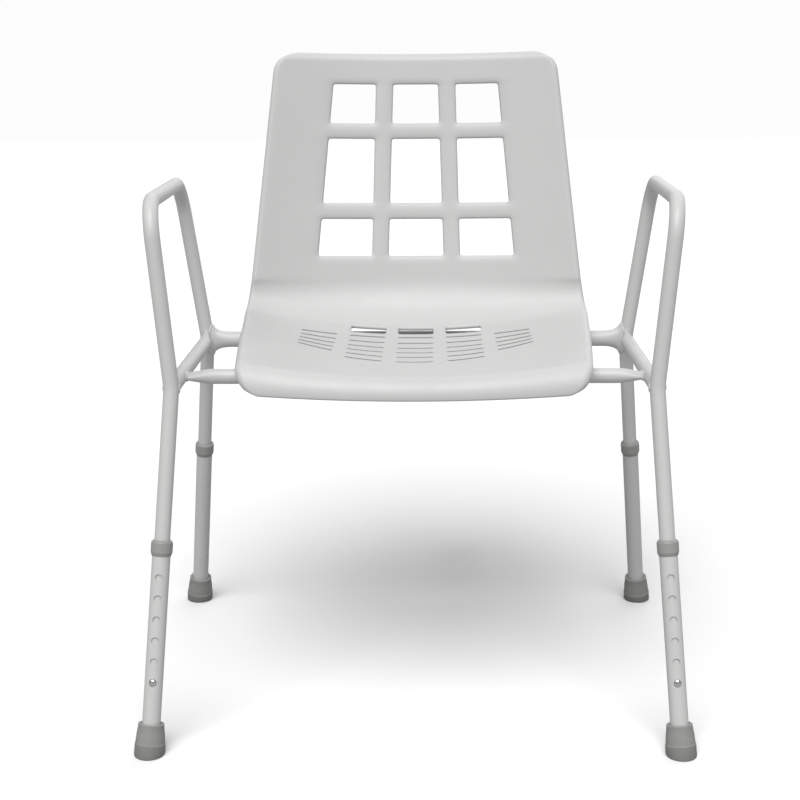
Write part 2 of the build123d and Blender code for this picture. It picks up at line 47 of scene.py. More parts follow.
class Shade:
    """A material under construction, with short calls for its nodes."""

    def __init__(self, name):
        self.material = bpy.data.materials.new(name)
        self.material.use_nodes = True
        self.tree = self.material.node_tree
        self.shader = self.tree.nodes["Principled BSDF"]
        self.place = self.tree.nodes.new("ShaderNodeTexCoord").outputs["Object"]

    def link(self, source, target):
        self.tree.links.new(source, target)

    def noise(self, scale, detail=3.0, rough=0.55, distort=0.0):
        """A noise texture's value, with features about 1/scale metres across."""
        node = self.tree.nodes.new("ShaderNodeTexNoise")
        node.inputs["Scale"].default_value = scale
        node.inputs["Detail"].default_value = detail
        node.inputs["Roughness"].default_value = rough
        node.inputs["Distortion"].default_value = distort
        self.link(self.place, node.inputs["Vector"])
        return node.outputs["Fac"]

    def cells(self, scale):
        """Distance to the nearest of a scatter of points."""
        node = self.tree.nodes.new("ShaderNodeTexVoronoi")
        node.inputs["Scale"].default_value = scale
        self.link(self.place, node.inputs["Vector"])
        return node.outputs["Distance"]

    def ramp(self, value, low, high, start=0.35, end=0.65):
        """A colour or grey between low and high as value goes from start to end."""
        node = self.tree.nodes.new("ShaderNodeValToRGB")
        node.color_ramp.elements[0].position = start
        node.color_ramp.elements[1].position = end
        node.color_ramp.elements[0].color = colour(low)
        node.color_ramp.elements[1].color = colour(high)
        self.link(value, node.inputs["Fac"])
        return node.outputs["Color"]

    def mix(self, factor, first, second, blend="MIX"):
        """Two colours mixed by a value or a number."""
        node = self.tree.nodes.new("ShaderNodeMix")
        node.data_type = "RGBA"
        node.blend_type = blend
        if isinstance(factor, float):
            node.inputs["Factor"].default_value = factor
        else:
            self.link(factor, node.inputs["Factor"])
        self.link(first, node.inputs["A"])
        self.link(second, node.inputs["B"])
        return node.outputs["Result"]

    def bump(self, height, depth, strength=1.0, before=None):
        """A bump of the given depth in metres, on top of an earlier one."""
        node = self.tree.nodes.new("ShaderNodeBump")
        node.inputs["Distance"].default_value = depth
        node.inputs["Strength"].default_value = strength
        self.link(height, node.inputs["Height"])
        if before is not None:
            self.link(before, node.inputs["Normal"])
        return node.outputs["Normal"]

    def finish(self, base, rough, normal=None, **values):
        """Wires colour, roughness and bump, and sets the shader's own numbers."""
        self.link(base, self.shader.inputs["Base Color"])
        self.link(rough, self.shader.inputs["Roughness"])
        if normal is not None:
            self.link(normal, self.shader.inputs["Normal"])
        for name, value in values.items():
            self.shader.inputs[name.replace("_", " ")].default_value = value
        return self.material


def colour(value):
    """Four channels from a grey or an RGB triple."""
    if isinstance(value, (int, float)):
        value = (value, value, value)
    return (*value, 1.0)


def powder_coat(name, tint):
    """White satin powder coat: fine orange peel, faint cloudiness and a few dull rubs."""
    s = Shade(name)
    cloud = s.noise(9.0, 4.0)
    peel = s.noise(900.0, 2.0, 0.5)
    rubs = s.noise(55.0, 5.0, 0.7, 0.6)
    base = s.ramp(cloud, [c * 0.965 for c in tint], tint, 0.3, 0.7)
    rough = s.ramp(rubs, 0.42, 0.50, 0.4, 0.75)
    normal = s.bump(peel, 0.00004, 0.3)
    return s.finish(base, rough, normal, Coat_Weight=0.12, Coat_Roughness=0.35)


def moulded(name, tint, grain=1500.0, rough=(0.42, 0.55), depth=0.00005):
    """Moulded plastic with a fine spark-eroded grain and slight flow variation."""
    s = Shade(name)
    flow = s.noise(5.0, 3.0, 0.5, 0.8)
    grains = s.noise(grain, 2.0, 0.6)
    scuffs = s.noise(38.0, 6.0, 0.75, 1.2)
    base = s.ramp(flow, [c * 0.97 for c in tint], tint, 0.3, 0.7)
    shine = s.ramp(scuffs, rough[0], rough[1], 0.38, 0.7)
    normal = s.bump(grains, depth, 0.5)
    return s.finish(base, shine, normal, Specular_IOR_Level=0.45)


def rubber(name, tint):
    """Grey moulded rubber: matt, slightly mottled, with dust in its pores."""
    s = Shade(name)
    mottle = s.noise(120.0, 5.0, 0.65)
    pores = s.cells(1400.0)
    dust = s.noise(30.0, 4.0, 0.7)
    body = s.ramp(mottle, [c * 0.9 for c in tint], tint, 0.3, 0.7)
    dusty = s.ramp(dust, [c * 1.0 for c in tint], [min(1.0, c * 1.12) for c in tint], 0.5, 0.8)
    base = s.mix(0.4, body, dusty)
    rough = s.ramp(mottle, 0.62, 0.80, 0.3, 0.7)
    normal = s.bump(pores, 0.00008, 0.4, s.bump(mottle, 0.0001, 0.35))
    return s.finish(base, rough, normal, Specular_IOR_Level=0.35)


def plated(name, tint, rough=(0.10, 0.22)):
    """Bright or brushed plated steel with fine handling marks."""
    s = Shade(name)
    marks = s.noise(700.0, 4.0, 0.7, 2.0)
    stain = s.noise(60.0, 3.0)
    base = s.ramp(stain, [c * 0.93 for c in tint], tint, 0.3, 0.7)
    shine = s.ramp(marks, rough[0], rough[1], 0.3, 0.7)
    normal = s.bump(marks, 0.00001, 0.3)
    return s.finish(base, shine, normal, Metallic=1.0)


WHITE = (0.57, 0.57, 0.565)
paint = powder_coat("frame_powder_coat", WHITE)
shell_plastic = moulded("shell_moulded_plastic", (0.55, 0.55, 0.546))
# painted shade: the slot walls are the shell's own plastic, coloured darker to stand in for the
# shade inside the narrow slots
slot_painted_shade = moulded("shell_slot_painted_shade", (0.22, 0.22, 0.217))
collar_plastic = moulded("collar_moulded_plastic", (0.30, 0.30, 0.293), 1800.0, (0.40, 0.55))
plug_plastic = moulded("plug_black_plastic", (0.05, 0.05, 0.05), 1500.0, (0.5, 0.65))
foot_rubber = rubber("foot_grey_rubber", (0.28, 0.28, 0.272))
# painted shade: the same rubber, coloured darker to stand in for the shade on the foot's upright
# lower band
foot_band_painted_shade = rubber("foot_painted_shade_band", (0.23, 0.23, 0.224))
chrome = plated("button_bright_plate", (0.72, 0.72, 0.71))
steel = plated("fixing_stainless_steel", (0.52, 0.52, 0.52), (0.25, 0.42))

FINISHES = [
    ("side_", paint),
    ("front_cross", paint),
    ("rear_cross", paint),
    ("lower_leg", paint),
    ("seat_shell", shell_plastic),
    ("front_seat", collar_plastic),
    ("rear_seat", collar_plastic),
    ("collar", collar_plastic),
    ("foot_washer", steel),
    ("foot_", foot_rubber),
    ("inner_end_plug", plug_plastic),
    ("snap_button", chrome),
    ("button_spring", steel),
    ("seat_", steel),
]


def finish_for(name):
    """The material of the first matching name start."""
    return next(material for start, material in FINISHES if name.startswith(start))


for node_name, node in nodes.items():
    node.data.materials.clear()
    node.data.materials.append(finish_for(node_name))


# ------------------------------------------------------------ moulded shell

# The seat's centre line in millimetres, as in the CAD: (length, start angle, end angle)
SHIFT_Y = -11.3
CREST = (-172.0 + SHIFT_Y, 448.5)
LIP_R, LIP_END, RAKE = 22.0, 98.0, -3.8
FLAT, ARC_R, REAR_ANGLE = 195.0, 1200.0, 3.0
CORNER_R, BACK_ANGLE, BACK = 70.0, 80.0, 303.0
TOP_R, TOP_END = 12.0, -20.0
HALF_FRONT, HALF_HIP, HALF_CORNER, HALF_TOP = 215.0, 237.0, 229.0, 195.5
FLAT_SHARE = 0.62
LIP_CORNER, TOP_CORNER = 23.0, 28.0
DISH_LIP, DISH_FRONT, DISH_SEAT, DISH_BACK = 0.10e-3, 0.32e-3, 0.50e-3, 0.90e-3
BOW = 16.0
RIM_R, RIM_TURN = 9.0, 75.0
SHEET = 4.5

LIP = LIP_R * math.radians(LIP_END - RAKE)
ARC = ARC_R * math.radians(REAR_ANGLE - RAKE)
CORNER = CORNER_R * math.radians(BACK_ANGLE - REAR_ANGLE)
TOP = TOP_R * math.radians(BACK_ANGLE - TOP_END)
RUNS = [
    (LIP, LIP_END, RAKE),
    (FLAT, RAKE, RAKE),
    (ARC, RAKE, REAR_ANGLE),
    (CORNER, REAR_ANGLE, BACK_ANGLE),
    (BACK, BACK_ANGLE, BACK_ANGLE),
    (TOP, BACK_ANGLE, TOP_END),
]
STARTS = [sum(run[0] for run in RUNS[:i]) for i in range(len(RUNS) + 1)]
SEAT_AT, _, CORNER_AT, BACK_AT, TOP_AT, END_AT = STARTS[1:]
STRAIGHT = BACK - TOP_CORNER + TOP_R

BACK_BASE_Z = 480.0
WINDOW_ROWS = ((44.8, 96.3), (119.0, 208.3), (230.0, 283.8))
COLUMN_LOW = (38.4, 62.0, 136.5)
COLUMN_HIGH = (31.0, 55.6, 114.0)
SLOT_X, SLOT_HALF, SLOT_FAN = 65.0, 24.0, 0.0006
SLOT_FIRST, SLOT_PITCH, SLOT_WIDTH, SLOT_ROWS = 112.0 + SHIFT_Y, 36.0, 6.5, 6
DRAIN_MID, DRAIN_LENGTH = 150.0 + SHIFT_Y, 36.0
FUNNEL_WIDE, FUNNEL_DEEP = 5.0, 2.2
# Grid lines inside an opening, between two openings and just outside a slot or drain
CELL_NEAR, CELL_FAR, COLUMN_GAP = 9.5, 19.0, SLOT_X - 2 * SLOT_HALF
SLOT_MARGIN, DRAIN_MARGIN = 3.0, 4.0
# Grid spacing from lip to top: lip, flat, drains, corner, back, windows, above them, top edge
LIP_STEP, FLAT_STEP, DRAIN_STEP, CORNER_STEP = 4.0, 11.0, 9.0, 6.5
BACK_STEP, WINDOW_STEP, ABOVE_STEP, TOP_STEP = 9.0, 11.0, 5.0, 2.2
# The columns meet the windows' edges this far below the lowest one, and keep their lean
# this far past the windows, as a share of the windows' height
FOLLOW_BEFORE, LEVEL_LOW, LEVEL_HIGH = 12.0, -0.3, 1.15
# How much less the slots' curve bends the grid at the shell's side edge
FAN_EASE = 0.35


def mix(low, high, part):
    return low + (high - low) * part


def smooth(part):
    part = min(max(part, 0.0), 1.0)
    return part * part * (3 - 2 * part)


def centre_line(step=0.25):
    """Points (y, z, angle) along the centre line, evenly spaced, from the lip to the top."""
    line = [(0.0, 0.0, LIP_END)]
    count = round(END_AT / step)
    for i in range(count):
        t = (i + 0.5) * END_AT / count
        angle = angle_at(t)
        y, z, _ = line[-1]
        rad = math.radians(angle)
        line.append((y + math.cos(rad) * END_AT / count, z + math.sin(rad) * END_AT / count, angle))
    crest = line[round(SEAT_AT / END_AT * count)]
    dy, dz = CREST[0] - crest[0], CREST[1] - crest[1]
    return [(y + dy, z + dz, angle) for y, z, angle in line]


def run_at(t):
    """Which run of the centre line t is in, and how far along it, from 0 to 1."""
    i = next((k for k in range(len(RUNS)) if t <= STARTS[k + 1]), len(RUNS) - 1)
    return i, (t - STARTS[i]) / RUNS[i][0]


def angle_at(t):
    i, part = run_at(t)
    return mix(RUNS[i][1], RUNS[i][2], part)


LINE = centre_line()


def centre_at(t):
    """The centre line's point and direction t millimetres along it."""
    place = min(max(t, 0.0), END_AT) / END_AT * (len(LINE) - 1)
    i = min(int(place), len(LINE) - 2)
    part = place - i
    y, z = (mix(LINE[i][k], LINE[i + 1][k], part) for k in (0, 1))
    return y, z, angle_at(t)


BASE_OFFSET = (centre_at(BACK_AT)[1] - BACK_BASE_Z) / math.sin(math.radians(BACK_ANGLE))
BACK_ROWS = [(low - BASE_OFFSET, high - BASE_OFFSET) for low, high in WINDOW_ROWS]


def top_corner(rise):
    part = min(max(rise / TOP_CORNER, 0.0), 1.0)
    return TOP_CORNER * (1 - math.sqrt(1 - part**2))


def section_at(t):
    """Half width, dish, bow and lift direction of the shell's cross-section at t."""
    i, part = run_at(t)
    angle = angle_at(t)
    if i == 0:
        half = HALF_FRONT - LIP_CORNER * (1 - math.sqrt(max(0.0, 1 - (1 - part) ** 2)))
        return half, mix(DISH_LIP, DISH_FRONT, part), BOW, 0.0
    if i == 1:
        half = mix(HALF_FRONT, HALF_HIP, FLAT_SHARE * part)
        return half, mix(DISH_FRONT, DISH_SEAT, part), BOW * (1 - part) ** 2, 0.0
    if i == 2:
        half = mix(HALF_FRONT, HALF_HIP, mix(FLAT_SHARE, 1, part))
        return half, DISH_SEAT, 0.0, max(angle, 0.0)
    if i == 3:
        return mix(HALF_HIP, HALF_CORNER, part), mix(DISH_SEAT, DISH_BACK, part), 0.0, angle
    if i == 4:
        length = part * BACK
        half = mix(HALF_CORNER, HALF_TOP, part) - top_corner(length - STRAIGHT)
        return half, DISH_BACK, 0.0, BACK_ANGLE
    rise = BACK - STRAIGHT + TOP_R * math.sin(math.radians(BACK_ANGLE - angle))
    if angle < 0:
        rise = TOP_CORNER
    return HALF_TOP - top_corner(rise), DISH_BACK, 0.0, BACK_ANGLE


def shell_point(x, t, rim=0.0):
    """A point of the sitting surface; rim is the turn in degrees round the rolled side edge."""
    y, z, angle = centre_at(t)
    half, dish, bow, lift = section_at(t)
    drop = 0.0
    if rim:
        side = math.copysign(1, x)
        x = side * (half - RIM_R + RIM_R * math.sin(math.radians(rim)))
        drop = RIM_R * (1 - math.cos(math.radians(rim)))
    rise = dish * x**2
    lift, turn = math.radians(lift), math.radians(angle)
    y += bow * (x / HALF_FRONT) ** 2 - rise * math.sin(lift) + drop * math.sin(turn)
    z += rise * math.cos(lift) - drop * math.cos(turn)
    return Vector((x, y, z))


def seat_t(y):
    """Distance along the centre line of a place on the seat at y."""
    low, high = SEAT_AT, CORNER_AT + CORNER * 0.3
    for _ in range(40):
        mid = (low + high) / 2
        if centre_at(mid)[0] < y:
            low = mid
        else:
            high = mid
    return low


def shell_columns():
    """Distances from the middle of the grid's columns over the seat, in millimetres."""
    places = [0.0, CELL_NEAR, CELL_FAR, SLOT_HALF]
    for middle in (SLOT_X, 2 * SLOT_X):
        before = middle - SLOT_X + SLOT_HALF
        places += [before + COLUMN_GAP / 4, before + COLUMN_GAP * 3 / 4]
        cell = (-SLOT_HALF, -CELL_FAR, -CELL_NEAR, 0.0, CELL_NEAR, CELL_FAR, SLOT_HALF)
        places += [middle + d for d in cell]
    places.append(2 * SLOT_X + SLOT_HALF + FUNNEL_WIDE)
    return places


def column_place(place, t):
    """Where a seat column runs at t: over the back it follows the edges of the windows."""
    share = smooth((t - CORNER_AT) / (BACK_AT + BACK_ROWS[0][0] - FOLLOW_BEFORE - CORNER_AT))
    if share == 0:
        return place
    height = t - BACK_AT
    level = (height - BACK_ROWS[0][0]) / (BACK_ROWS[-1][1] - BACK_ROWS[0][0])
    level = min(max(level, LEVEL_LOW), LEVEL_HIGH)
    e0, e1, e2 = (mix(a, b, level) for a, b in zip(COLUMN_LOW, COLUMN_HIGH))
    near, far = SLOT_X - SLOT_HALF, 2 * SLOT_X + SLOT_HALF
    stops = [
        (0.0, 0.0), (CELL_FAR, e0 - FUNNEL_WIDE), (SLOT_HALF, e0),
        (SLOT_HALF + COLUMN_GAP / 4, e0 + FUNNEL_WIDE),
        (near - COLUMN_GAP / 4, e1 - FUNNEL_WIDE), (near, e1),
        (near + FUNNEL_WIDE, e1 + FUNNEL_WIDE), (far - FUNNEL_WIDE, e2 - FUNNEL_WIDE),
        (far, e2), (far + FUNNEL_WIDE, e2 + FUNNEL_WIDE),
    ]
    for (a, a_back), (b, b_back) in zip(stops, stops[1:]):
        if place <= b + 1e-6:
            target = mix(a_back, b_back, (place - a) / (b - a))
            return mix(place, target, share)
    return place


def spread(start, end, step):
    """Evenly spaced values after start, up to and including end."""
    count = max(1, round((end - start) / step))
    return [start + (end - start) * (i + 1) / count for i in range(count)]


def shell_rows():
    """The grid's lines from lip to top: (t at the middle, slot row for the fan, mark)."""
    rows = [(0.0, 0.0, "")] + [(t, 0.0, "") for t in spread(0.0, SEAT_AT, LIP_STEP)]
    side = SLOT_WIDTH / 2
    front = SLOT_FIRST - SLOT_PITCH * (SLOT_ROWS - 1)
    first = seat_t(front - side - SLOT_MARGIN)
    fill = spread(SEAT_AT, first, FLAT_STEP)
    for i, t in enumerate(fill):
        rows.append((t, (SLOT_ROWS - 1) * smooth((i + 1) / len(fill)), ""))
    for row in reversed(range(SLOT_ROWS)):
        y = SLOT_FIRST - SLOT_PITCH * row
        rows.append((seat_t(y - side), row, f"slot{row}"))
        rows.append((seat_t(y + side), row, ""))
        rows.append((seat_t(y + side + SLOT_MARGIN), row, ""))
        if row:
            rows.append((seat_t(y + SLOT_PITCH / 2), row - 0.5, ""))
            rows.append((seat_t(y + SLOT_PITCH - side - SLOT_MARGIN), row - 1, ""))
    low, high = DRAIN_MID - DRAIN_LENGTH / 2, DRAIN_MID + DRAIN_LENGTH / 2
    rows += [(seat_t(low - DRAIN_MARGIN), 0, ""), (seat_t(low), 0, "drain")]
    rows += [(t, 0, "drain") for t in spread(seat_t(low), seat_t(high), DRAIN_STEP)]
    rows[-1] = (rows[-1][0], 0, "")
    last = rows[-1][0]
    rows += [(t, 0, "") for t in spread(last, BACK_AT, CORNER_STEP)]
    last = BACK_AT
    for index, (start, end) in enumerate(BACK_ROWS):
        before = BACK_AT + start - FUNNEL_WIDE
        rows += [(t, 0, "") for t in spread(last, before, BACK_STEP)]
        rows.append((BACK_AT + start, 0, f"window{index}"))
        rows.append((BACK_AT + start + FUNNEL_WIDE, 0, f"window{index}"))
        inner = spread(BACK_AT + start + FUNNEL_WIDE, BACK_AT + end - FUNNEL_WIDE, WINDOW_STEP)
        rows += [(t, 0, f"window{index}") for t in inner]
        rows += [(BACK_AT + end, 0, ""), (BACK_AT + end + FUNNEL_WIDE, 0, "")]
        last = rows[-1][0]
    rows += [(t, 0, "") for t in spread(last, TOP_AT, ABOVE_STEP)]
    rows += [(t, 0, "") for t in spread(TOP_AT, END_AT, TOP_STEP)]
    return rows


def is_hole(mark, inner, outer):
    """Is the cell between two seat columns, on a marked line, part of an opening?"""
    middle = (abs(inner) + abs(outer)) / 2
    column = round(middle / SLOT_X)
    inside = abs(middle - column * SLOT_X) < SLOT_HALF
    if mark.startswith("slot"):
        return inside and column <= 2 and not (column == 2 and mark == f"slot{SLOT_ROWS - 1}")
    if mark == "drain":
        return inside and column <= 1
    near, far = SLOT_X - SLOT_HALF, 2 * SLOT_X + SLOT_HALF
    return mark.startswith("window") and (middle < SLOT_HALF or near < middle < far)


def shell_normal(x, t, rim):
    """The way the sitting surface faces at a point."""
    step = 0.5
    low, high = max(t - step, 0.0), min(t + step, END_AT)
    along = shell_point(x, high, rim) - shell_point(x, low, rim)
    if rim:
        across = shell_point(x, t, rim + 1) - shell_point(x, t, max(rim - 1, 0.01))
        across *= math.copysign(1, x)
    else:
        across = shell_point(x + step, t) - shell_point(x - step, t)
    return across.cross(along).normalized()


def make_shell():
    """Seat and back as a quad grid whose lines follow every slot and window.

    Gives the sitting surface, for rays from below.
    """
    columns = shell_columns()
    outer_fill, rim_turns = 3, spread(0.0, RIM_TURN, RIM_TURN / 6)
    positive = [(place, 0.0, 0.0) for place in columns]
    positive += [(columns[-1], (i + 1) / outer_fill, 0.0) for i in range(outer_fill)]
    positive += [(columns[-1], 1.0, turn) for turn in rim_turns]
    layout = [(-1, *c) for c in reversed(positive[1:])] + [(1, *c) for c in positive]
    rows = shell_rows()
    mesh = bmesh.new()
    grid, facts = [], {}
    for t_mid, fan, _ in rows:
        line = []
        for side, place, outward, rim in layout:
            t = t_mid
            if fan:
                t += SLOT_FAN * fan * min(place, columns[-1]) ** 2 * (1 - FAN_EASE * outward)
            x = column_place(place, t)
            if outward:
                x = mix(x, section_at(t)[0] - RIM_R, outward)
            point = shell_point(side * x, t, rim)
            vert = mesh.verts.new(point * MM)
            facts[vert] = (side * x, t, rim)
            line.append(vert)
        grid.append(line)
    for i in range(len(rows) - 1):
        mark = rows[i][2]
        for j in range(len(layout) - 1):
            a, b = layout[j], layout[j + 1]
            flat = not (a[2] or b[2])
            if mark and flat and is_hole(mark, a[1], b[1]):
                continue
            mesh.faces.new((grid[i][j], grid[i][j + 1], grid[i + 1][j + 1], grid[i + 1][j]))
    # the rims of the windows run back into the sheet as a soft funnel
    for vert in mesh.verts:
        x, t, rim = facts[vert]
        if vert.is_boundary and not rim and 1 < t - BACK_AT < BACK - 5:
            vert.co -= shell_normal(x, t, rim) * FUNNEL_DEEP * MM
    # the walls of the narrow slots, which the sheet's rim faces make, get painted shade: a darker
    # colour for the shade inside the slots
    last_slot = seat_t(DRAIN_MID - DRAIN_LENGTH / 2 - 2)
    for edge in mesh.edges:
        ends = [facts[vert] for vert in edge.verts]
        if edge.is_boundary and all(SEAT_AT + 5 < t < last_slot and not rim for _, t, rim in ends):
            edge.link_faces[0].material_index = 1
    for vert in [v for v in mesh.verts if not v.link_faces]:
        mesh.verts.remove(vert)
    mesh.normal_update()
    data = bpy.data.meshes.new("seat_shell_skin")
    mesh.to_mesh(data)
    surface = BVHTree.FromBMesh(mesh)
    mesh.free()
    shell = bpy.data.objects.new("seat_shell_skin", data)
    bpy.context.collection.objects.link(shell)
    thick = shell.modifiers.new("sheet", "SOLIDIFY")
    thick.thickness = SHEET * MM
    thick.offset = -1
    thick.use_even_offset = True
    thick.edge_crease_inner = thick.edge_crease_outer = 0.55
    rounding = shell.modifiers.new("rounding", "SUBSURF")
    rounding.levels = rounding.render_levels = 1
    for face in data.polygons:
        face.use_smooth = True
    # the third material is painted shade, which the slots' rim faces take through the rim material
    # offset
    for material in (shell_plastic, shell_plastic, slot_painted_shade):
        data.materials.append(material)
    thick.material_offset_rim = 1
    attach(shell, "frame")
    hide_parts("seat_shell")
    return surface


shell_surface = make_shell()


# --------------------------------------------------------- tubes and welds

FRAME_R, LEG_R, REAR_RAIL_R = 9.5, 11.1, 11.0
FRONT_FOOT = (321.0, -257.0 + SHIFT_Y, 0.0)
REAR_FOOT = (328.0, 257.0 + SHIFT_Y, 0.0)
FRONT_JOINT = (291.0, -162.0 + SHIFT_Y, 432.0)
REAR_JOINT = (293.0, 191.0 + SHIFT_Y, 414.0)
ARM_FRONT = (311.5, -151.0 + SHIFT_Y, 654.0)
ARM_REAR = (326.0, 201.0 + SHIFT_Y, 633.5)
ARM_BEND, LEG_BEND, INNER_END = 45.0, 70.0, 62.0
FRONT_RAIL_Y = -86.0 + SHIFT_Y
RAIL_TAPER, TIP_HALF, TIP_WIDE = 30.0, 4.0, 12.5
FLARE_LENGTH, FLARE_HALF, FLARE_WIDE = 22.0, 20.5, 8.8
FLARE_STEPS = (0.0, 0.2, 0.4, 0.55, 0.68, 0.78, 0.86, 0.92, 0.97, 1.0)
SIDES = 48
BEAD_R, BEAD_RIPPLE, BEAD_WAVES, BEAD_SIDES = 1.7, 0.22, 26, 10
# A weld's outline has this many points and is cast from this far short of the joint
WELD_POINTS, WELD_STANDOFF = 156, 40.0
STRAIGHT_STEP, BEND_STEP = 20.0, math.radians(4)
# A bar's end stays BAR_INSET from the axis of the tube it meets
BAR_INSET, PRESS_PARTS = 2.0, 8
SIDE_NAMES = ((-1, "left"), (1, "right"))


def sided(point, side):
    """A frame point on the left (side -1) or right (side 1)."""
    return Vector((side * point[0], point[1], point[2]))


def leg_axis(foot, top, side):
    """Foot centre and unit vector up one leg."""
    start = sided(foot, side)
    return start, (sided(top, side) - start).normalized()


def ring_mesh(rings, capped=True):
    """Quads through rings of points in millimetres, closed by caps or back on themselves."""
    mesh = bmesh.new()
    grid = [[mesh.verts.new(point * MM) for point in ring] for ring in rings]
    pairs = list(zip(grid, grid[1:])) + ([] if capped else [(grid[-1], grid[0])])
    for low, high in pairs:
        for i in range(len(low)):
            j = (i + 1) % len(low)
            mesh.faces.new((low[i], low[j], high[j], high[i]))
    if capped:
        for ring in (grid[0], grid[-1]):
            for edge in mesh.faces.new(ring).edges:
                edge.smooth = False
    bmesh.ops.recalc_face_normals(mesh, faces=mesh.faces)
    return mesh


def piece(name, mesh, material, body, replaced=None):
    """Turns a mesh into a smooth named piece that rides a body; gives its surface for rays."""
    surface = BVHTree.FromBMesh(mesh)
    data = bpy.data.meshes.new(name)
    mesh.to_mesh(data)
    mesh.free()
    for face in data.polygons:
        face.use_smooth = True
    data.materials.append(material)
    item = bpy.data.objects.new(name, data)
    bpy.context.collection.objects.link(item)
    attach(item, body)
    if replaced:
        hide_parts(replaced)
    return surface


def bent_path(points, radii):
    """Places along a line whose corners are rounded to the given radii."""
    path = [points[0]]
    for before, corner, after, radius in zip(points, points[1:], points[2:], radii):
        back, ahead = (before - corner).normalized(), (after - corner).normalized()
        bend = math.pi - back.angle(ahead)
        reach = radius * math.tan(bend / 2)
        start, end = corner + back * reach, corner + ahead * reach
        centre = corner + (back + ahead).normalized() * (radius / math.cos(bend / 2))
        last = path[-1]
        parts = spread(0, 1, STRAIGHT_STEP / (start - last).length)
        path += [last.lerp(start, part) for part in parts]
        axis = (start - centre).cross(end - centre)
        for part in spread(0, 1, BEND_STEP / bend):
            path.append(centre + Matrix.Rotation(bend * part, 3, axis) @ (start - centre))
    last, end = path[-1], points[-1]
    parts = spread(0, 1, STRAIGHT_STEP / (end - last).length)
    return path + [last.lerp(end, part) for part in parts]


def ring(centre, first, second, half_first, half_second, count=SIDES):
    """An ellipse of points round a centre."""
    turns = [2 * math.pi * k / count for k in range(count)]
    return [
        centre + first * (half_first * math.cos(a)) + second * (half_second * math.sin(a))
        for a in turns
    ]


def tube_rings(path, radius):
    """Rings along a bent path that don't twist."""
    rings, across = [], Vector((1, 0, 0))
    for i, place in enumerate(path):
        ahead = (path[min(i + 1, len(path) - 1)] - path[max(i - 1, 0)]).normalized()
        across = (across - ahead * across.dot(ahead)).normalized()
        rings.append(ring(place, across, ahead.cross(across), radius, radius))
    return rings


def bar_rings(start, ahead, upright, stations):
    """Rings of a straight bar; stations are (distance, half upright, half across)."""
    across = ahead.cross(upright)
    return [ring(start + ahead * d, upright, across, tall, wide) for d, tall, wide in stations]


def pressed(length, from_round):
    """Stations of a bar end pressed from round to a flat blade over its taper."""
    parts = spread(0, 1, 1 / PRESS_PARTS)
    return [
        (from_round + (length - from_round) * part, mix(FRAME_R, TIP_WIDE, smooth(part)),
         mix(FRAME_R, TIP_HALF, smooth(part)))
        for part in parts
    ]


def weld(name, outline, ahead, surface):
    """A rippled bead where a bar's outline meets the surface of another tube."""
    places = []
    for point in outline:
        hit = surface.ray_cast(point * MM, ahead)[0]
        if hit is not None:
            places.append(hit / MM)
    rings = []
    for i, place in enumerate(places):
        run = (places[(i + 1) % len(places)] - places[i - 1]).normalized()
        side = run.cross(ahead).normalized()
        size = BEAD_R + BEAD_RIPPLE * math.sin(2 * math.pi * BEAD_WAVES * i / len(places))
        turns = [2 * math.pi * k / BEAD_SIDES for k in range(BEAD_SIDES)]
        lift = run.cross(side)
        rings.append([place + (side * math.cos(a) + lift * math.sin(a)) * size for a in turns])
    piece(name, ring_mesh(rings, capped=False), paint, "frame")


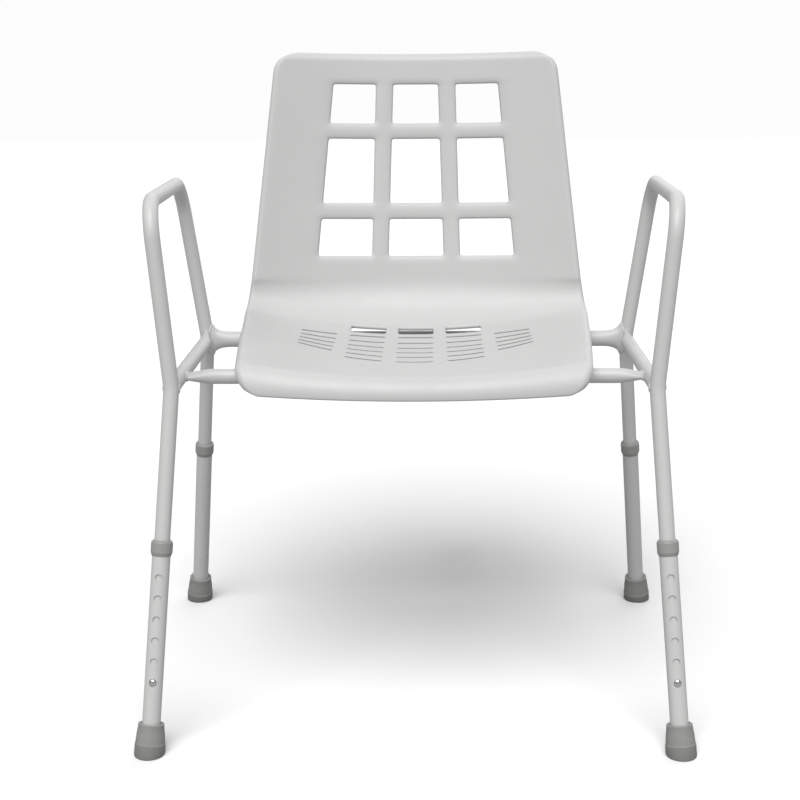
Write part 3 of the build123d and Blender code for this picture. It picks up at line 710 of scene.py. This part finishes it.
def make_frame():
    """Side tubes, side rails, cross rails and the beads that join them."""
    rails, tubes = {}, {}
    up = Vector((0, 0, 1))
    for side, name in SIDE_NAMES:
        front, front_up = leg_axis(FRONT_FOOT, FRONT_JOINT, side)
        rear, rear_up = leg_axis(REAR_FOOT, REAR_JOINT, side)
        corners = [sided(p, side) for p in (FRONT_JOINT, ARM_FRONT, ARM_REAR, REAR_JOINT)]
        ends = [front + front_up * INNER_END, rear + rear_up * INNER_END]
        path = bent_path([ends[0], *corners, ends[1]], [LEG_BEND, ARM_BEND, ARM_BEND, LEG_BEND])
        tubes[side] = piece(
            f"side_tube_{name}_skin", ring_mesh(tube_rings(path, FRAME_R)), paint,
            "frame", f"side_tube_{name}",
        )
        start = sided(FRONT_JOINT, side)
        run = sided(REAR_JOINT, side) - start
        ahead = run.normalized()
        upright = ahead.cross(up.cross(ahead)).normalized()
        round_end = run.length - FRAME_R - RAIL_TAPER
        along = [BAR_INSET, *spread(BAR_INSET, round_end, STRAIGHT_STEP)]
        stations = [(d, FRAME_R, FRAME_R) for d in along]
        stations += pressed(run.length - FRAME_R / 2, round_end)
        rails[side] = piece(
            f"side_rail_{name}_skin", ring_mesh(bar_rings(start, ahead, upright, stations)),
            paint, "frame", f"side_rail_{name}",
        )
        across = ahead.cross(upright)
        near = start + ahead * WELD_STANDOFF
        outline = ring(near, upright, across, FRAME_R, FRAME_R, WELD_POINTS)
        weld(f"weld_front_joint_{name}", outline, -ahead, tubes[side])
        blade = start + ahead * (run.length - WELD_STANDOFF)
        outline = ring(blade, upright, across, TIP_WIDE, TIP_HALF, WELD_POINTS)
        weld(f"weld_rear_joint_{name}", outline, ahead, tubes[side])

    slope = (REAR_JOINT[2] - FRONT_JOINT[2]) / (REAR_JOINT[1] - FRONT_JOINT[1])
    middle = Vector((0, FRONT_RAIL_Y, FRONT_JOINT[2] + slope * (FRONT_RAIL_Y - FRONT_JOINT[1])))
    right, back = Vector((1, 0, 0)), Vector((0, 1, 0))
    round_end = FRONT_JOINT[0] - FRAME_R - RAIL_TAPER
    half = [(0.0, FRAME_R, FRAME_R)]
    half += [(d, FRAME_R, FRAME_R) for d in spread(0.0, round_end, STRAIGHT_STEP)]
    half += pressed(FRONT_JOINT[0] - BAR_INSET, round_end)
    both = [(-d, wide, tall) for d, wide, tall in reversed(half[1:])] + half
    piece(
        "front_cross_rail_skin", ring_mesh(bar_rings(middle, right, back, both)), paint,
        "frame", "front_cross_rail",
    )
    centre = Vector((0, REAR_JOINT[1], REAR_JOINT[2]))
    flare_start = REAR_JOINT[0] - FRAME_R - FLARE_LENGTH
    half = [(0.0, REAR_RAIL_R, REAR_RAIL_R)]
    half += [(d, REAR_RAIL_R, REAR_RAIL_R) for d in spread(0.0, flare_start, STRAIGHT_STEP)]
    for part in FLARE_STEPS[1:]:
        tall = REAR_RAIL_R + (FLARE_HALF - REAR_RAIL_R) * (1 - math.sqrt(1 - part**2))
        half.append((flare_start + FLARE_LENGTH * part, tall, mix(REAR_RAIL_R, FLARE_WIDE, part)))
    half.append((REAR_JOINT[0] - 1, FLARE_HALF, FLARE_WIDE))
    both = [(-d, tall, wide) for d, tall, wide in reversed(half[1:])] + half
    piece(
        "rear_cross_rail_skin", ring_mesh(bar_rings(centre, right, up, both)), paint,
        "frame", "rear_cross_rail",
    )
    for side, name in SIDE_NAMES:
        ahead = right * side
        tip = middle + ahead * (FRONT_JOINT[0] - WELD_STANDOFF)
        outline = ring(tip, back, up, TIP_WIDE, TIP_HALF, WELD_POINTS)
        weld(f"weld_front_rail_{name}", outline, ahead, rails[side])
        flare = centre + ahead * (REAR_JOINT[0] - WELD_STANDOFF)
        outline = ring(flare, up, back, FLARE_HALF, FLARE_WIDE, WELD_POINTS)
        weld(f"weld_rear_rail_{name}", outline, ahead, tubes[side])
    return middle, centre


front_rail_middle, rear_rail_middle = make_frame()


# ------------------------------------------------------- bosses under the seat

BOSS_R, PAD_T, SCREW_X = 8.0, 3.0, 120.0
BOSS_SINK, BOSS_RISE = 0.2, 0.3
# (radius, distance below the seat's underside) of a boss's rings, flaring into the seat
BOSS_RINGS = ((8.0, 6.0), (8.3, 3.2), (9.2, 1.4), (11.0, 0.3), (11.0, -1.8))


def make_boss(name, side, rail, rail_r):
    """A moulded screw post from the seat's underside down onto its saddle."""
    middle = Vector((side * SCREW_X, rail.y, 0))
    first, second = Vector((1, 0, 0)), Vector((0, 1, 0))
    foot = []
    for point in ring(middle, first, second, BOSS_R, BOSS_R):
        reach = (rail_r + PAD_T) ** 2 - (point.y - rail.y) ** 2
        foot.append(Vector((point.x, point.y, rail.z + math.sqrt(reach) - BOSS_SINK)))
    rings = [foot]
    for radius, below in BOSS_RINGS:
        line = []
        for k, point in enumerate(ring(middle, first, second, radius, radius)):
            start = Vector((point.x, point.y, rail.z)) * MM
            seat = shell_surface.ray_cast(start, Vector((0, 0, 1)))[0].z / MM
            lowest = foot[k].z + BOSS_RISE * len(rings)
            line.append(Vector((point.x, point.y, max(seat - SHEET - below, lowest))))
        rings.append(line)
    piece(name, ring_mesh(rings), shell_plastic, "frame")


for side, side_name in SIDE_NAMES:
    make_boss(f"seat_boss_front_{side_name}", side, front_rail_middle, FRAME_R)
    make_boss(f"seat_boss_rear_{side_name}", side, rear_rail_middle, REAR_RAIL_R)


# ------------------------------------------------------------- rubber feet

FOOT_R, FOOT_TOP_R, FOOT_BAND, FOOT_HEIGHT = 18.6, 15.5, 13.5, 38.0
# (radius, height above the floor) round the trodden edge, then (radius, distance up the leg)
FOOT_EDGE = ((FOOT_R - 1.1, 0.0), (FOOT_R - 0.35, 0.3), (FOOT_R - 0.05, 1.0))
FOOT_TREAD = ((FOOT_R, FOOT_BAND - 2.0), (FOOT_R, FOOT_BAND - 0.5), (FOOT_R - 0.2, FOOT_BAND))
FOOT_BODY = (
    (FOOT_R - 0.75, FOOT_BAND + 0.25),
    (FOOT_R - 0.7, FOOT_BAND + 1.2),
    (mix(FOOT_R, FOOT_TOP_R, 0.5), 25.0),
    (FOOT_TOP_R + 0.1, FOOT_HEIGHT - 3.0),
    (FOOT_TOP_R + 0.3, FOOT_HEIGHT - 2.0),
    (FOOT_TOP_R + 0.25, FOOT_HEIGHT - 1.0),
    (FOOT_TOP_R - 0.3, FOOT_HEIGHT - 0.3),
    (FOOT_TOP_R - 1.2, FOOT_HEIGHT),
    (LEG_R + 1.6, FOOT_HEIGHT - 0.3),
    (LEG_R + 0.5, FOOT_HEIGHT - 1.2),
    (LEG_R - 0.5, FOOT_HEIGHT - 2.0),
)


def make_foot(name, foot, top, side):
    """A rubber ferrule whose lower band is coloured darker as painted shade, trimmed flat on the
    floor.
    """
    start, up = leg_axis(foot, top, side)
    first = Vector((1, 0, 0)).cross(up).normalized()
    second = up.cross(first)
    rings = []
    for radius, height in FOOT_EDGE:
        flat = ring(start, first, second, radius, radius)
        rings.append([point + up * ((height - point.z) / up.z) for point in flat])
    for radius, height in FOOT_TREAD + FOOT_BODY:
        rings.append(ring(start + up * height, first, second, radius, radius))
    mesh = ring_mesh(rings)
    mesh.faces.ensure_lookup_table()
    # the lower band and the trodden cap take the darker rubber, which is painted shade
    for face in mesh.faces[: SIDES * (len(FOOT_EDGE) + len(FOOT_TREAD) - 1)]:
        face.material_index = 1
    mesh.faces[-2].material_index = 1
    piece(f"foot_{name}_skin", mesh, foot_rubber, f"leg_{name}", f"foot_{name}")
    bpy.data.objects[f"foot_{name}_skin"].data.materials.append(foot_band_painted_shade)


for side, side_name in SIDE_NAMES:
    make_foot(f"front_{side_name}", FRONT_FOOT, FRONT_JOINT, side)
    make_foot(f"rear_{side_name}", REAR_FOOT, REAR_JOINT, side)


# ------------------------------------------------------- floor, light, camera

FLOOR_SIZE, FLOOR_DROP = 14.0, 0.0004
SURROUND_STRENGTH, BACKDROP_STRENGTH = 0.35, 0.98
STUDIO_WHITE = (1.0, 1.0, 1.0, 1.0)


def make_floor():
    """A wide pale floor under the feet."""
    mesh = bpy.data.meshes.new("floor")
    half = FLOOR_SIZE / 2
    corners = [(-half, -half, 0), (half, -half, 0), (half, half, 0), (-half, half, 0)]
    mesh.from_pydata(corners, [], [(0, 1, 2, 3)])
    floor = bpy.data.objects.new("floor", mesh)
    floor.location.z = -FLOOR_DROP
    bpy.context.collection.objects.link(floor)
    s = Shade("floor_pale")
    cloud = s.noise(0.7, 2.0)
    # seen directly the floor is pale, but it counts as darker for the light it throws back up
    direct = s.tree.nodes.new("ShaderNodeLightPath").outputs["Is Camera Ray"]
    tone = s.mix(direct, s.ramp(cloud, 0.38, 0.40), s.ramp(cloud, 0.85, 0.87))
    mesh.materials.append(s.finish(tone, s.ramp(cloud, 0.85, 0.9), Specular_IOR_Level=0.0))


def sun_light(name, source, spread_angle, power):
    """A very soft, even light that comes from a direction."""
    light = bpy.data.lights.new(name, "SUN")
    light.angle = spread_angle
    light.energy = power
    lamp = bpy.data.objects.new(name, light)
    lamp.rotation_euler = (-Vector(source)).to_track_quat("-Z", "Y").to_euler()
    bpy.context.collection.objects.link(lamp)


make_floor()
sun_light("key", (-0.10, -0.66, 1.0), 0.8, 2.95)
sun_light("back_fill", (0.45, 1.0, 0.55), 1.2, 0.9)

world = bpy.data.worlds.new("studio")
world.use_nodes = True
bpy.context.scene.world = world
tree = world.node_tree
surround = tree.nodes["Background"]
surround.inputs["Color"].default_value = STUDIO_WHITE
surround.inputs["Strength"].default_value = SURROUND_STRENGTH
backdrop = tree.nodes.new("ShaderNodeBackground")
backdrop.inputs["Strength"].default_value = BACKDROP_STRENGTH
backdrop.inputs["Color"].default_value = STUDIO_WHITE
chooser = tree.nodes.new("ShaderNodeMixShader")
seen = tree.nodes.new("ShaderNodeLightPath").outputs["Is Camera Ray"]
tree.links.new(seen, chooser.inputs["Fac"])
tree.links.new(surround.outputs["Background"], chooser.inputs[1])
tree.links.new(backdrop.outputs["Background"], chooser.inputs[2])
tree.links.new(chooser.outputs["Shader"], tree.nodes["World Output"].inputs["Surface"])
bpy.context.scene.view_settings.view_transform = "Standard"

SENSOR_MM = 36.0
LENS_MM = 75.46
CAMERA_PLACE = (0.0208, -2.1193, 0.9245)
CAMERA_PITCH = math.radians(75.39)
CAMERA_YAW = math.radians(1.10)
CAMERA_ROLL = math.radians(-0.40)

camera_data = bpy.data.cameras.new("camera")
camera_data.sensor_width = SENSOR_MM
camera_data.lens = LENS_MM
camera = bpy.data.objects.new("camera", camera_data)
turn = (
    Matrix.Rotation(CAMERA_YAW, 4, "Z")
    @ Matrix.Rotation(CAMERA_PITCH, 4, "X")
    @ Matrix.Rotation(CAMERA_ROLL, 4, "Z")
)
camera.matrix_world = Matrix.Translation(CAMERA_PLACE) @ turn
bpy.context.collection.objects.link(camera)
bpy.context.scene.camera = camera


# ------------------------------------------------------------------ update


bpy.context.view_layer.update()
